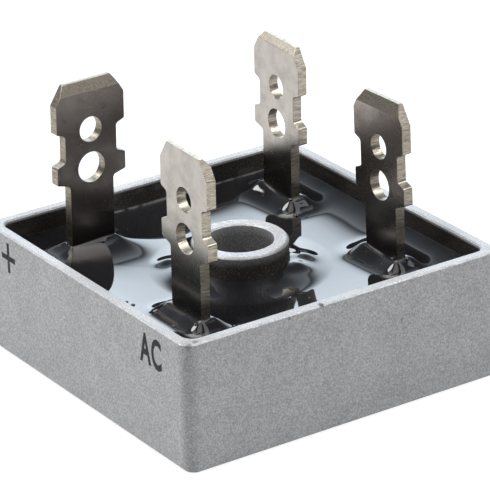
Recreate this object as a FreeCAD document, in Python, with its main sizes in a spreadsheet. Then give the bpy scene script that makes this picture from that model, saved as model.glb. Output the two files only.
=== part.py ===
import FreeCAD, Part
import math
import os
import re

import Sketcher
from FreeCAD import Placement, Rotation, Vector

# Bridge rectifier: a square cast cup with a bored collar, four stamped quick-connect blades on L-shaped
# feet, four diode dies soldered between the feet, and black resin over all of it.
# The frame: origin at the middle of the mounting face, on the bore's axis, +Z up, millimetres.
# The marked side is at -Y. Corners: plus (-X, -Y), minus (+X, +Y), front (+X, -Y), back (-X, +Y).

# Sizes, each written once: alias, value, what it is
SIZES = [
    ("case_side", 28.5, "case, over its outer walls"),
    ("case_height", 10.4, "case, from mounting face to rim"),
    ("wall_thickness", 0.87, "case walls"),
    ("floor_thickness", 2.0, "case base"),
    ("outer_corner", 1.0, "radius of the case's upright corners, outside"),
    ("inner_corner", 0.9, "the same, inside"),
    ("rim_break", 0.12, "broken edges of the rim"),
    ("base_break", 0.25, "broken edge round the mounting face"),
    ("collar_width", 7.55, "collar round the fixing screw, diameter"),
    ("collar_drop", 0.2, "rim down to the collar's top"),
    ("collar_break", 0.2, "broken outer edge of the collar's top"),
    ("bore_width", 5.3, "hole for an M5 screw, diameter"),
    ("bore_break", 0.12, "broken edge at each end of the bore"),
    ("layer_thickness", 0.4, "insulating layer on the case base"),
    ("layer_clearance", 0.25, "layer's edge to the walls and the collar"),
    ("sheet_thickness", 0.8, "terminal sheet, the standard 0.8 mm blade"),
    ("tab_width", 6.35, "blade head, the standard 6.35 mm blade"),
    ("barb_width", 6.4, "the shoulders that stop a receptacle"),
    ("notch_width", 4.8, "blade between the two notches"),
    ("stem_width", 4.06, "blade below the shoulders"),
    ("tip_width", 4.45, "top edge between the two cut corners"),
    ("tip_height", 21.65, "blade tips above the mounting face, before each one's lift"),
    ("corner_drop", 1.5, "tip down to the end of the cut corners"),
    ("notch_drop", 3.9, "tip down to the notches"),
    ("barb_drop", 6.35, "tip down to the shoulders' top"),
    ("stem_drop", 8.07, "tip down to the shoulders' bottom"),
    ("flank_rise", 0.15, "slope of the notch and shoulder flanks, each way"),
    ("notch_round", 0.3, "rounding in the notches"),
    ("shoulder_round", 0.18, "rounding of the corners beside them"),
    ("upper_hole", 2.0, "blade's upper hole, diameter"),
    ("upper_hole_drop", 3.95, "tip down to its centre"),
    ("lower_hole", 2.45, "blade's lower hole, diameter"),
    ("lower_hole_drop", 7.07, "tip down to its centre"),
    ("bevel_depth", 0.45, "how far the tip's bevel cuts into the sheet"),
    ("strap_width", 4.6, "buried strap between stem and foot"),
    ("strap_height", 5.6, "strap's top above the mounting face"),
    ("strap_overlap", 0.5, "length of stem that runs into the strap's height"),
    ("bend_round", 0.4, "inside radius of the bend"),
    ("foot_width", 4.4, "legs of the L-shaped feet"),
    ("foot_relief", 0.3, "cut beside the bend"),
    ("ring_radius", 7.0, "bore axis to the middle of each die"),
    ("die_side", 4.0, "silicon die, square"),
    ("die_thickness", 0.35, "silicon die"),
    ("solder_side", 3.8, "solder joint, square"),
    ("solder_thickness", 0.12, "solder joint"),
    ("resin_drop", 2.55, "rim down to the resin's level"),
    ("wet_height", 1.1, "how far the resin climbs the walls"),
    ("collar_wet_height", 0.6, "how far it climbs the collar"),
    ("stem_wet_height", 0.95, "how far it climbs a stem"),
    ("knee_share", 0.42, "height at the knee of these hollow slopes, as a share of the climb"),
    ("knee_reach", 1.4, "what is wetted out to the knee"),
    ("wet_reach", 4.0, "what is wetted out to where the resin is level"),
    ("ridge_depth", 0.25, "how far the slope round a stem or the collar runs on inside it"),
    ("plus_inset_x", 4.6, "plus blade's centre at the resin's level, in from the case's side"),
    ("plus_inset_y", 6.7, "the same, from its end"),
    ("plus_turn", 3.5, "its turn from square, degrees"),
    ("plus_lean", -1.3, "its lean to the side, degrees"),
    ("plus_lift", 0.35, "how far its tip stands over the common height"),
    ("plus_bevel", 0.85, "height of its tip's bevel"),
    ("front_gap_x", 1.65, "front AC blade, its strap's edge to the die beside it"),
    ("front_inset_y", 5.85, "its centre, in from the case's side"),
    ("front_turn", -0.7, ""),
    ("front_lean", -0.95, ""),
    ("front_lift", 0.0, ""),
    ("front_bevel", 0.6, ""),
    ("back_inset_x", 5.5, "back AC blade"),
    ("back_inset_y", 4.4, ""),
    ("back_turn", -1.3, ""),
    ("back_lean", -1.1, ""),
    ("back_lift", 0.0, ""),
    ("back_bevel", 0.5, ""),
    ("minus_gap_x", 1.65, "minus blade, as for the front one"),
    ("minus_inset_y", 4.75, ""),
    ("minus_turn", -0.6, ""),
    ("minus_lean", 1.7, ""),
    ("minus_lift", -0.4, ""),
    ("minus_bevel", 0.9, ""),
]
ALIASES = {alias for alias, _, _ in SIZES}

# Cutting tools run this far past the face that they cut
OVERRUN = 1.0

# Two places this near to each other count as one
SAME = 1e-3

doc = FreeCAD.newDocument("BridgeRectifier")
sheet = doc.addObject("Spreadsheet::Sheet", "Sizes")
for row, (alias, number, note) in enumerate(SIZES, 1):
    sheet.set(f"A{row}", alias)
    sheet.set(f"B{row}", str(number))
    sheet.setAlias(f"B{row}", alias)
    sheet.set(f"C{row}", note)
doc.recompute()

# Formulas shared by the pieces that meet
HALF_CAVITY = "(case_side / 2 - wall_thickness)"
COLLAR_TOP = "(case_height - collar_drop)"
RESIN_LEVEL = "(case_height - resin_drop)"
LAYER_TOP = "(floor_thickness + layer_thickness)"
LOW_FOOT_TOP = f"({LAYER_TOP} + sheet_thickness)"
LOW_SOLDER_TOP = f"({LOW_FOOT_TOP} + solder_thickness)"
DIE_TOP = f"({LOW_SOLDER_TOP} + die_thickness)"
HIGH_FOOT = f"({DIE_TOP} + solder_thickness)"
FOOT_INNER = "(ring_radius - foot_width / 2)"
FOOT_OUTER = "(ring_radius + foot_width / 2)"
FOOT_END = "(foot_width / 2)"
BEND_REACH = "(sheet_thickness / 2 + bend_round)"
STRAP_SIDE = "(strap_width / 2)"
STEM_FOOT = f"(strap_height - strap_overlap - {RESIN_LEVEL})"
TO_KNEE = "(wet_reach - knee_reach)"
TO_RIDGE = "(knee_reach + ridge_depth)"
RIDGE_CORNER = "((ridge_depth + sheet_thickness / 2) / 2)"


def tied(formula):
    """A formula of aliases, as the sheet's readers write it."""
    return re.sub(r"[a-z_]+", lambda word: "Sizes." * (word.group() in ALIASES) + word.group(), formula)


def value(formula):
    """The number that a formula gives now."""
    return float(sheet.evalExpression(tied(formula)))


def bind(target, path, formula):
    target.setExpression(path, tied(formula))


# Sketches
def new_body(name):
    return doc.addObject("PartDesign::Body", name)


def sketch_on(body, name, role, height="0"):
    """A sketch on one of the body's own planes, or on a plane parallel to it."""
    sketch = body.newObject("Sketcher::SketchObject", name)
    plane = next(feature for feature in body.Origin.OriginFeatures if feature.Role == role)
    sketch.AttachmentSupport = (plane, [""])
    sketch.MapMode = "FlatFace"
    bind(sketch, ".AttachmentOffset.Base.z", height)
    return sketch


def tie_point(sketch, geometry, end, x, y):
    """Hold one point of the sketch at two formulas, measured from the sketch's origin."""
    for kind, formula in (("DistanceX", x), ("DistanceY", y)):
        index = sketch.addConstraint(Sketcher.Constraint(kind, -1, 1, geometry, end, value(formula)))
        bind(sketch, f"Constraints[{index}]", formula)


def polygon(sketch, corners):
    """A closed outline whose corners are pairs of formulas."""
    points = [Vector(value(x), value(y), 0) for x, y in corners]
    first = sketch.GeometryCount
    count = len(points)
    for side in range(count):
        sketch.addGeometry(Part.LineSegment(points[side], points[(side + 1) % count]), False)
    for side in range(count):
        follower = first + (side + 1) % count
        sketch.addConstraint(Sketcher.Constraint("Coincident", first + side, 2, follower, 1))
    for side, (x, y) in enumerate(corners):
        tie_point(sketch, first + side, 1, x, y)


def rounded_rectangle(sketch, half_x, half_y, corner):
    """A rectangle about the sketch's origin, with an arc at each corner."""
    first = sketch.GeometryCount
    wide = value(half_x)
    deep = value(half_y)
    radius = value(corner)
    signs = [(1, 1), (-1, 1), (-1, -1), (1, -1)]
    inner_x = f"({half_x} - {corner})"
    inner_y = f"({half_y} - {corner})"
    ends = []
    for across, along in signs:
        beside = (f"{across} * {half_x}", f"{along} * {inner_y}")
        beyond = (f"{across} * {inner_x}", f"{along} * {half_y}")
        ends += [beside, beyond] if across == along else [beyond, beside]
    for side in range(4):
        start = ends[2 * side + 1]
        stop = ends[(2 * side + 2) % 8]
        line = Part.LineSegment(*[Vector(value(x), value(y), 0) for x, y in (start, stop)])
        sketch.addGeometry(line, False)
        tie_point(sketch, first + side, 1, *start)
        tie_point(sketch, first + side, 2, *stop)
    for side, (across, along) in enumerate(signs):
        middle = Vector(across * (wide - radius), along * (deep - radius), 0)
        circle = Part.Circle(middle, Vector(0, 0, 1), radius)
        quarter = math.pi / 2
        index = sketch.addGeometry(Part.ArcOfCircle(circle, side * quarter, (side + 1) * quarter), False)
        sketch.addConstraint(Sketcher.Constraint("Coincident", first + (side - 1) % 4, 2, index, 1))
        sketch.addConstraint(Sketcher.Constraint("Coincident", first + side, 1, index, 2))
        held = sketch.addConstraint(Sketcher.Constraint("Radius", index, radius))
        bind(sketch, f"Constraints[{held}]", corner)


def circle_at(sketch, x, y, diameter):
    ring = Part.Circle(Vector(value(x), value(y), 0), Vector(0, 0, 1), value(diameter) / 2)
    index = sketch.addGeometry(ring, False)
    tie_point(sketch, index, 3, x, y)
    held = sketch.addConstraint(Sketcher.Constraint("Diameter", index, value(diameter)))
    bind(sketch, f"Constraints[{held}]", diameter)


# Features
def pad(body, sketch, length, midplane=False):
    feature = body.newObject("PartDesign::Pad", sketch.Name + "Pad")
    feature.Profile = sketch
    bind(feature, "Length", length)
    feature.Midplane = midplane
    doc.recompute()
    return feature


def pocket(body, sketch, length, upward=False, midplane=False):
    """Cut the sketch out of the body, and make sure that the cut took something away."""
    before = body.Shape.Volume
    feature = body.newObject("PartDesign::Pocket", sketch.Name + "Pocket")
    feature.Profile = sketch
    bind(feature, "Length", length)
    feature.Reversed = upward
    feature.Midplane = midplane
    doc.recompute()
    if body.Shape.Volume >= before:
        raise RuntimeError(f"{feature.Name} cut nothing")
    return feature


def soften(body, kind, name, edge_test, size):
    """Round or chamfer each edge of the body that passes the test."""
    base = body.Tip
    edges = [f"Edge{index}" for index, edge in enumerate(base.Shape.Edges, 1) if edge_test(edge)]
    feature = body.newObject(f"PartDesign::{kind}", name)
    feature.Base = (base, edges)
    bind(feature, "Radius" if kind == "Fillet" else "Size", size)
    doc.recompute()
    return feature


def lies_at(edge, height):
    """Whether an edge lies level, at the height that the formula gives."""
    box = edge.BoundBox
    return max(abs(box.ZMin - value(height)), abs(box.ZMax - value(height))) < SAME


def spans(edge, diameter):
    """Whether an edge is a circle about the bore's axis, of the diameter that the formula gives."""
    box = edge.BoundBox
    centred = abs(box.XMin + box.XMax) < SAME and abs(box.YMin + box.YMax) < SAME
    return centred and abs(box.XLength - value(diameter)) < SAME


def runs_through(corners):
    """A test for the short edges that run through the sheet at the given corners of its outline."""
    places = [(value(x), value(z)) for x, z in corners]

    def test(edge):
        box = edge.BoundBox
        through = abs(box.YLength - value("sheet_thickness")) < SAME
        return through and any(abs(box.XMin - x) + abs(box.ZMin - z) < SAME for x, z in places)
    return test


def make_case():
    """The cast cup: base, four walls and the collar, bored through for the fixing screw."""
    body = new_body("case")
    outline = sketch_on(body, "CaseOutline", "XY_Plane")
    rounded_rectangle(outline, "(case_side / 2)", "(case_side / 2)", "outer_corner")
    pad(body, outline, "case_height")
    cavity = sketch_on(body, "CaseCavity", "XY_Plane", "case_height")
    rounded_rectangle(cavity, HALF_CAVITY, HALF_CAVITY, "inner_corner")
    circle_at(cavity, "0", "0", "collar_width")
    pocket(body, cavity, "case_height - floor_thickness")
    facing = sketch_on(body, "CollarFacing", "XY_Plane", "case_height")
    circle_at(facing, "0", "0", "collar_width + 2 * wall_thickness")
    pocket(body, facing, "collar_drop")
    bore = sketch_on(body, "ScrewBore", "XY_Plane")
    circle_at(bore, "0", "0", "bore_width")
    pocket(body, bore, f"case_height + {OVERRUN}", upward=True)
    soften(body, "Chamfer", "RimBreak", lambda edge: lies_at(edge, "case_height"), "rim_break")
    soften(body, "Chamfer", "CollarBreak",
           lambda edge: lies_at(edge, COLLAR_TOP) and spans(edge, "collar_width"), "collar_break")
    soften(body, "Chamfer", "BaseBreak",
           lambda edge: lies_at(edge, "0") and not spans(edge, "bore_width"), "base_break")
    soften(body, "Chamfer", "BoreBreak", lambda edge: spans(edge, "bore_width"), "bore_break")
    return body


def make_layer():
    """The thin insulating sheet that keeps the live feet off the case."""
    body = new_body("insulating_layer")
    side = f"({HALF_CAVITY} - layer_clearance)"
    outline = sketch_on(body, "LayerOutline", "XY_Plane")
    rounded_rectangle(outline, side, side, "(inner_corner - layer_clearance)")
    circle_at(outline, "0", "0", "collar_width + 2 * layer_clearance")
    pad(body, outline, "layer_thickness")
    bind(body, ".Placement.Base.z", "floor_thickness")
    return body


# Terminals: the corner that each one stands in, its level, and how its blade faces
TERMINALS = {
    "plus": {"name": "terminal_plus", "side_x": -1, "side_y": -1, "low": True, "quarter": 90, "bevel": -1},
    "minus": {"name": "terminal_minus", "side_x": 1, "side_y": 1, "low": True, "quarter": 0, "bevel": -1},
    "front": {"name": "terminal_ac_front", "side_x": 1, "side_y": -1, "low": False, "quarter": 0, "bevel": 1},
    "back": {"name": "terminal_ac_back", "side_x": -1, "side_y": 1, "low": False, "quarter": 0, "bevel": -1},
}


def blade_place(key):
    """Formulas for the middle of a blade where it enters the resin.

    It is set in from the case's walls, but the two whose strap passes beside a die keep a gap to it.
    """
    terminal = TERMINALS[key]
    from_wall = f"(case_side / 2 - {key}_inset_x)"
    from_die = f"((die_side + strap_width) / 2 + {key}_gap_x)"
    reach_x = from_die if f"{key}_gap_x" in ALIASES else from_wall
    return f"({terminal['side_x']} * {reach_x})", f"({terminal['side_y']} * (case_side / 2 - {key}_inset_y))"


def make_blade(key):
    """The upright blade, drawn as its right half about the middle of the sheet and mirrored.

    Its own origin is on its centre line at the resin's level, so it leans about the point where it
    enters the resin.
    """
    terminal = TERMINALS[key]
    body = new_body(f"blade_{key}")
    tip = f"(tip_height + {key}_lift - {RESIN_LEVEL})"
    outline = sketch_on(body, f"BladeHalf_{key}", "XZ_Plane")
    polygon(outline, [
        ("0", STEM_FOOT),
        ("stem_width / 2", STEM_FOOT),
        ("stem_width / 2", f"{tip} - stem_drop - flank_rise"),
        ("barb_width / 2", f"{tip} - stem_drop + flank_rise"),
        ("barb_width / 2", f"{tip} - barb_drop - flank_rise"),
        ("notch_width / 2", f"{tip} - barb_drop + flank_rise"),
        ("notch_width / 2", f"{tip} - notch_drop - flank_rise"),
        ("tab_width / 2", f"{tip} - notch_drop + flank_rise"),
        ("tab_width / 2", f"{tip} - corner_drop"),
        ("tip_width / 2", tip),
        ("0", tip),
    ])
    half = pad(body, outline, "sheet_thickness", midplane=True)
    hollow = [
        ("stem_width / 2", f"{tip} - stem_drop - flank_rise"),
        ("notch_width / 2", f"{tip} - barb_drop + flank_rise"),
        ("notch_width / 2", f"{tip} - notch_drop - flank_rise"),
    ]
    proud = [
        ("barb_width / 2", f"{tip} - stem_drop + flank_rise"),
        ("barb_width / 2", f"{tip} - barb_drop - flank_rise"),
        ("tab_width / 2", f"{tip} - notch_drop + flank_rise"),
    ]
    notch_rounds = soften(body, "Fillet", f"NotchRound_{key}", runs_through(hollow), "notch_round")
    shoulder_rounds = soften(body, "Fillet", f"ShoulderRound_{key}", runs_through(proud), "shoulder_round")
    mirror = body.newObject("PartDesign::Mirrored", f"BladeMirror_{key}")
    mirror.Originals = [half, notch_rounds, shoulder_rounds]
    plane = next(feature for feature in body.Origin.OriginFeatures if feature.Role == "YZ_Plane")
    mirror.MirrorPlane = (plane, [""])
    body.Tip = mirror
    doc.recompute()
    holes = sketch_on(body, f"BladeHoles_{key}", "XZ_Plane")
    circle_at(holes, "0", f"{tip} - upper_hole_drop", "upper_hole")
    circle_at(holes, "0", f"{tip} - lower_hole_drop", "lower_hole")
    pocket(body, holes, f"sheet_thickness + {OVERRUN}", midplane=True)
    face = f"{terminal['bevel']} * sheet_thickness / 2"
    cut = f"{terminal['bevel']} * (sheet_thickness / 2 - bevel_depth)"
    clear = f"{terminal['bevel']} * (sheet_thickness / 2 + {OVERRUN})"
    bevel = sketch_on(body, f"BladeBevel_{key}", "YZ_Plane")
    polygon(bevel, [
        (face, f"{tip} - {key}_bevel"),
        (cut, tip),
        (cut, f"{tip} + {OVERRUN}"),
        (clear, f"{tip} + {OVERRUN}"),
        (clear, f"{tip} - {key}_bevel"),
    ])
    pocket(body, bevel, f"tab_width + {OVERRUN}", midplane=True)
    turned = Rotation(Vector(0, 0, 1), terminal["quarter"] + value(f"{key}_turn"))
    leaned = Rotation(Vector(0, -1, 0), value(f"{key}_lean"))
    body.Placement = Placement(Vector(0, 0, 0), turned * leaned)
    for axis, formula in zip("xyz", (*blade_place(key), RESIN_LEVEL)):
        bind(body, f".Placement.Base.{axis}", formula)
    return body


def make_foot(key):
    """The buried end of the same stamping: strap, bend, and the L-shaped foot that meets two dies.

    Along names the direction in which the strap bends inward, across the one along the bend line.
    """
    terminal = TERMINALS[key]
    quarter_turned = terminal["quarter"] == 90
    place_x, place_y = blade_place(key)
    if quarter_turned:
        along, across = (place_x, terminal["side_x"]), (place_y, terminal["side_y"])
    else:
        along, across = (place_y, terminal["side_y"]), (place_x, terminal["side_x"])
    stem, outward = along
    middle, aside = across
    under = LAYER_TOP if terminal["low"] else HIGH_FOOT
    over = f"({under} + sheet_thickness)"
    body = new_body(f"foot_{key}")
    outer_face = f"({stem} + {outward} * sheet_thickness / 2)"
    inner_face = f"({stem} - {outward} * sheet_thickness / 2)"
    bend_end = f"({stem} - {outward} * {BEND_REACH})"
    lap_end = f"({outward} * {FOOT_INNER})"
    section_plane, section_place = ("XZ_Plane", f"-{middle}") if quarter_turned else ("YZ_Plane", middle)
    section = sketch_on(body, f"StrapSection_{key}", section_plane, section_place)
    polygon(section, [
        (outer_face, under),
        (lap_end, under),
        (lap_end, over),
        (inner_face, over),
        (inner_face, "strap_height"),
        (outer_face, "strap_height"),
    ])
    pad(body, section, "strap_width", midplane=True)

    def bend_edge(face, level):
        def test(edge):
            box = edge.BoundBox
            place = (box.XMin, box.XMax) if quarter_turned else (box.YMin, box.YMax)
            level_found = lies_at(edge, level)
            return level_found and all(abs(end - value(face)) < SAME for end in place)
        return test

    soften(body, "Fillet", f"BendInside_{key}", bend_edge(inner_face, over), "bend_round")
    soften(body, "Fillet", f"BendOutside_{key}", bend_edge(outer_face, under),
           "bend_round + sheet_thickness")
    beside_bend = f"({middle} - {aside} * ({STRAP_SIDE} + foot_relief))"
    corners = [
        (f"{outward} * {FOOT_INNER}", f"{-aside} * {FOOT_END}"),
        (f"{outward} * {FOOT_OUTER}", f"{-aside} * {FOOT_END}"),
        (f"{outward} * {FOOT_OUTER}", beside_bend),
        (bend_end, beside_bend),
        (bend_end, f"{aside} * {FOOT_OUTER}"),
        (f"{-outward} * {FOOT_END}", f"{aside} * {FOOT_OUTER}"),
        (f"{-outward} * {FOOT_END}", f"{aside} * {FOOT_INNER}"),
        (f"{outward} * {FOOT_INNER}", f"{aside} * {FOOT_INNER}"),
    ]
    plan = sketch_on(body, f"FootPlan_{key}", "XY_Plane", under)
    polygon(plan, corners if quarter_turned else [(second, first) for first, second in corners])
    pad(body, plan, "sheet_thickness")
    return body


def make_terminal(key):
    """Blade and foot joined into the one stamping that they are."""
    terminal = doc.addObject("Part::Fuse", TERMINALS[key]["name"])
    terminal.Base = make_blade(key)
    terminal.Tool = make_foot(key)
    terminal.Refine = True
    doc.recompute()
    return terminal


# Dies, between a low foot and a high foot, in the middle of each side
DIES = {
    "plus_front": (0, -1),
    "plus_back": (-1, 0),
    "minus_front": (1, 0),
    "minus_back": (0, 1),
}


def make_wafer(name, across, along, side, thickness, bottom):
    """A thin square block at one of the four places on the ring."""
    wafer = doc.addObject("Part::Box", name)
    bind(wafer, "Length", side)
    bind(wafer, "Width", side)
    bind(wafer, "Height", thickness)
    bind(wafer, ".Placement.Base.x", f"{across} * ring_radius - {side} / 2")
    bind(wafer, ".Placement.Base.y", f"{along} * ring_radius - {side} / 2")
    bind(wafer, ".Placement.Base.z", bottom)
    return wafer


def make_dies():
    """Each die with the solder joint under it and the one over it."""
    wafers = []
    for place, (across, along) in DIES.items():
        wafers += [
            make_wafer(f"solder_low_{place}", across, along, "solder_side", "solder_thickness", LOW_FOOT_TOP),
            make_wafer(f"die_{place}", across, along, "die_side", "die_thickness", LOW_SOLDER_TOP),
            make_wafer(f"solder_high_{place}", across, along, "solder_side", "solder_thickness", DIE_TOP),
        ]
    doc.recompute()
    return wafers


def add_slope(body, name, outline, climb):
    """Resin that has climbed something: a wide gentle slope and a steeper one on top of it.

    outline draws the edge of a slope in a sketch, at a distance from what is wetted.
    """
    knee = f"(knee_share * {climb})"
    steep = f"(({climb} - {knee}) * {TO_RIDGE} / knee_reach)"
    for part, reach, run, foot, rise in (("Gentle", "wet_reach", TO_KNEE, RESIN_LEVEL, knee),
                                         ("Steep", "knee_reach", TO_RIDGE, f"{RESIN_LEVEL} + {knee}", steep)):
        edge = sketch_on(body, f"{part}Edge_{name}", "XY_Plane", foot)
        outline(edge, reach)
        slope = pad(body, edge, rise)
        bind(slope, "TaperAngle", f"-atan({run} / {rise})")
    doc.recompute()


def add_stem_slope(body, key):
    def outline(edge, reach):
        for axis, formula in zip("xy", blade_place(key)):
            bind(edge, f".AttachmentOffset.Base.{axis}", formula)
        bind(edge, ".AttachmentOffset.Rotation.Angle", f"{TERMINALS[key]['quarter']} + {key}_turn")
        rounded_rectangle(edge, f"(stem_width / 2 + {reach})", f"(sheet_thickness / 2 + {reach})",
                          f"({reach} + {RIDGE_CORNER})")

    add_slope(body, key, outline, "stem_wet_height")


def add_wall_slopes(body, name, role):
    """The resin that has climbed two opposite walls."""
    wedges = sketch_on(body, name, role)
    knee = f"{RESIN_LEVEL} + knee_share * wet_height"
    top = f"{RESIN_LEVEL} + wet_height"
    for side in (1, -1):
        polygon(wedges, [
            (f"{side} * ({HALF_CAVITY} - wet_reach)", RESIN_LEVEL),
            (f"{side} * case_side / 2", RESIN_LEVEL),
            (f"{side} * case_side / 2", top),
            (f"{side} * {HALF_CAVITY}", top),
            (f"{side} * ({HALF_CAVITY} - knee_reach)", knee),
        ])
    pad(body, wedges, "case_side", midplane=True)


def make_potting(buried):
    """The resin: it fills the cup round all that is buried, and climbs what it wets.

    Its form is drawn too wide, with the slopes on it, and then kept only where the cup has room.
    """
    room = new_body("cup_room")
    fill = sketch_on(room, "CupRoom", "XY_Plane", "floor_thickness")
    rounded_rectangle(fill, HALF_CAVITY, HALF_CAVITY, "inner_corner")
    circle_at(fill, "0", "0", "collar_width")
    pad(room, fill, f"{RESIN_LEVEL} + wet_height + {OVERRUN} - floor_thickness")
    form = new_body("resin_form")
    block = sketch_on(form, "ResinBlock", "XY_Plane")
    half = "case_side / 2"
    polygon(block, [(half, half), (f"-{half}", half), (f"-{half}", f"-{half}"), (half, f"-{half}")])
    pad(form, block, RESIN_LEVEL)
    add_wall_slopes(form, "SideWallSlopes", "XZ_Plane")
    add_wall_slopes(form, "EndWallSlopes", "YZ_Plane")
    add_slope(form, "collar", lambda edge, reach: circle_at(edge, "0", "0", f"(collar_width + 2 * {reach})"),
              "collar_wet_height")
    for key in TERMINALS:
        add_stem_slope(form, key)
    kept = doc.addObject("Part::Common", "resin_in_cup")
    kept.Base = room
    kept.Tool = form
    all_buried = doc.addObject("Part::MultiFuse", "all_buried")
    all_buried.Shapes = buried
    resin = doc.addObject("Part::Cut", "potting")
    resin.Base = kept
    resin.Tool = all_buried
    doc.recompute()
    return resin


def check_document(nodes):
    """Stop before anything is written if a step failed or a node isn't one sound solid."""
    for item in doc.Objects:
        if "Invalid" in item.State or "Error" in item.State:
            raise RuntimeError(f"{item.Name} failed: {item.State}")
    for node in nodes:
        shape = node.Shape
        if shape.isNull() or not shape.isValid() or len(shape.Solids) != 1:
            raise RuntimeError(f"{node.Name} isn't one sound solid")
        print(f"{node.Name}: {shape.Volume:.2f} mm3, {len(shape.Faces)} faces")


def write_nodes(nodes):
    os.makedirs("parts", exist_ok=True)
    for node in nodes:
        node.Label = node.Name
        node.Shape.exportStep(f"parts/{node.Label}.step")


case = make_case()
layer = make_layer()
terminals = [make_terminal(key) for key in TERMINALS]
wafers = make_dies()
potting = make_potting([layer, *terminals, *wafers])
pieces = [case, layer, *terminals, *wafers, potting]
check_document(pieces)
write_nodes(pieces)
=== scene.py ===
# %% [markdown]
# # A bridge rectifier
#
# The real object is a small metal cup, 28.5 mm square, filled with black epoxy. A bored collar for the
# fixing screw stands in the middle and four quick-connect blades stand up out of the resin. The solid
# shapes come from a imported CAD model. This lesson gives them what a camera sees close up: sandy cast metal,
# tin-plated stampings with softly sheared edges, and a mirror of resin that creeps up whatever it wets.

# %% Load the frame
from math import cos, degrees, pi, radians, sin

import bmesh
import bpy
from mathutils import Matrix, Vector


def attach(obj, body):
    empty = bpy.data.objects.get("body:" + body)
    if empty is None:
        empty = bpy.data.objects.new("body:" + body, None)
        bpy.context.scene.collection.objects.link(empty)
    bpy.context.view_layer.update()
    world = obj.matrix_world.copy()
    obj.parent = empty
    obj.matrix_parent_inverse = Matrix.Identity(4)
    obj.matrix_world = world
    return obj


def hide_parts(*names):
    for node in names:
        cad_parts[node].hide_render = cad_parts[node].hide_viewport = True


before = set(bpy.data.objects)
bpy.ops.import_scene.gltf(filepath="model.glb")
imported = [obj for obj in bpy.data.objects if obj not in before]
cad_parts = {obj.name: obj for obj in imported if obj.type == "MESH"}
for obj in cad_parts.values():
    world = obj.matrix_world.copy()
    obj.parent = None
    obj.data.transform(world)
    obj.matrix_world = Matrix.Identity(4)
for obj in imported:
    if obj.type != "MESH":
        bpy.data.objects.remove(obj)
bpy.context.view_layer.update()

MM = 0.001
print("nodes from the CAD model:", len(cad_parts))

# %% [markdown]
# ## Camera
#
# The photo was taken from near by with a long lens, looking 24 degrees down onto the front corner. The four
# blades have known sizes, so a camera could be fitted to their corners. A wider lens from nearer would
# spread the walls apart, so the distance is kept as well as the angle.

# %% Camera
AZIMUTH, ELEVATION, ROLL = radians(56.771), radians(23.805), radians(-1.733)
DISTANCE, AIM_RIGHT, AIM_UP = 278.66, 0.114, 8.402
LENS_PER_HEIGHT = 3583 / 500
SENSOR = 36.0

back = Vector((sin(AZIMUTH) * cos(ELEVATION), -cos(AZIMUTH) * cos(ELEVATION), sin(ELEVATION)))
level = Vector((cos(AZIMUTH), sin(AZIMUTH), 0))
upright = back.cross(level)
right = cos(ROLL) * level + sin(ROLL) * upright
up = cos(ROLL) * upright - sin(ROLL) * level
camera = bpy.data.objects.new("camera", bpy.data.cameras.new("camera"))
camera.data.sensor_width = SENSOR
camera.data.lens = SENSOR * LENS_PER_HEIGHT
camera.data.clip_start = 0.01
place = (back * DISTANCE + right * AIM_RIGHT + up * AIM_UP) * MM
camera.matrix_world = Matrix.Translation(place) @ Matrix((right, up, back)).transposed().to_4x4()
bpy.context.collection.objects.link(camera)
bpy.context.scene.camera = camera
print("camera at", [round(v / MM, 1) for v in place], "mm, lens", round(camera.data.lens), "mm")

# %% [markdown]
# ## Node helpers
#
# Materials and Geometry Nodes are both node trees. One helper adds a node, sets its fields and fills its
# sockets, from a number or from another node's output. The others are short names for the nodes that come
# back all the time, so the trees below read like a list of steps.


# %% Node helpers
def add(tree, kind, sockets=None, **fields):
    """Add a node; sockets maps an input's name or number to a value or to another node's output."""
    node = tree.nodes.new(kind)
    for field, setting in fields.items():
        setattr(node, field, setting)
    for name, source in (sockets or {}).items():
        if isinstance(source, bpy.types.NodeSocket):
            tree.links.new(source, node.inputs[name])
        else:
            node.inputs[name].default_value = source
    return node


def calculate(tree, operation, first, second=0.0, third=0.0):
    """One Math node's output."""
    return add(tree, "ShaderNodeMath", {0: first, 1: second, 2: third}, operation=operation).outputs[0]


def product(tree, first, *others):
    """Numbers multiplied in their order."""
    for other in others:
        first = calculate(tree, "MULTIPLY", first, other)
    return first


def vector(tree, operation, first, second=(0, 0, 0)):
    """One Vector Math node's vector."""
    return add(tree, "ShaderNodeVectorMath", {0: first, 1: second}, operation=operation).outputs["Vector"]


def length(tree, offset):
    """How long a vector is."""
    return add(tree, "ShaderNodeVectorMath", {0: offset}, operation="LENGTH").outputs["Value"]


def axes(tree, spot):
    """A vector's three numbers, as X, Y and Z."""
    return add(tree, "ShaderNodeSeparateXYZ", {0: spot}).outputs


def span(tree, factor, low, high, to_low, to_high):
    """A number mapped from one range to another, clamped at both ends."""
    return add(tree, "ShaderNodeMapRange", {"Value": factor, "From Min": low, "From Max": high,
                                            "To Min": to_low, "To Max": to_high}).outputs["Result"]


# %% [markdown]
# Five more helpers serve the materials. Every pattern starts from the piece's own coordinates in metres, so
# a grain has the same true size on each piece.


# %% Material helpers
def start_material(name):
    """A material with one Principled shader, and the place of each point on the piece."""
    material = bpy.data.materials.new(name)
    material.use_nodes = True
    tree = material.node_tree
    tree.nodes.clear()
    shader = add(tree, "ShaderNodeBsdfPrincipled")
    add(tree, "ShaderNodeOutputMaterial", {"Surface": shader.outputs["BSDF"]})
    place = add(tree, "ShaderNodeTexCoord").outputs["Object"]
    return material, tree, shader, place


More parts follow.
